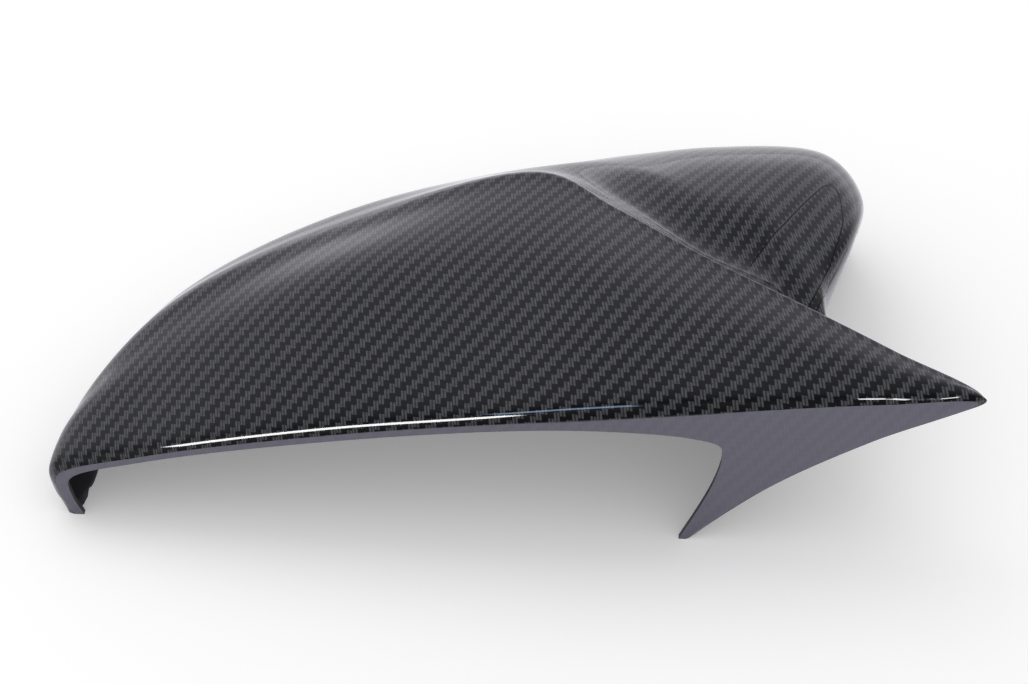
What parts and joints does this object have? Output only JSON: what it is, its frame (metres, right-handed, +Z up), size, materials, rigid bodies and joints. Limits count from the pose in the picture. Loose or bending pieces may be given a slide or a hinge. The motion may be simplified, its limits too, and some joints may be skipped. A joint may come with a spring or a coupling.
{
  "type": "wing mirror cover",
  "caption": "Moulded cover shell for the top, front and outer end of a wing mirror, with a pointed outboard blade over a rounded lobe and a glass opening at the rear.",
  "frame": {"origin": "middle of the cover's bounding box, on the plane of its lower edge", "axes": "+X outboard towards the blade's tip, +Y forward, away from the glass opening, +Z up"},
  "size_m": [0.2654, 0.1492, 0.0612],
  "materials": {
    "gloss_carbon_look": "clear-coated carbon twill print"
  },
  "bodies": {
    "root": {"mirror_cover": "gloss_carbon_look"}
  },
  "joints": []
}
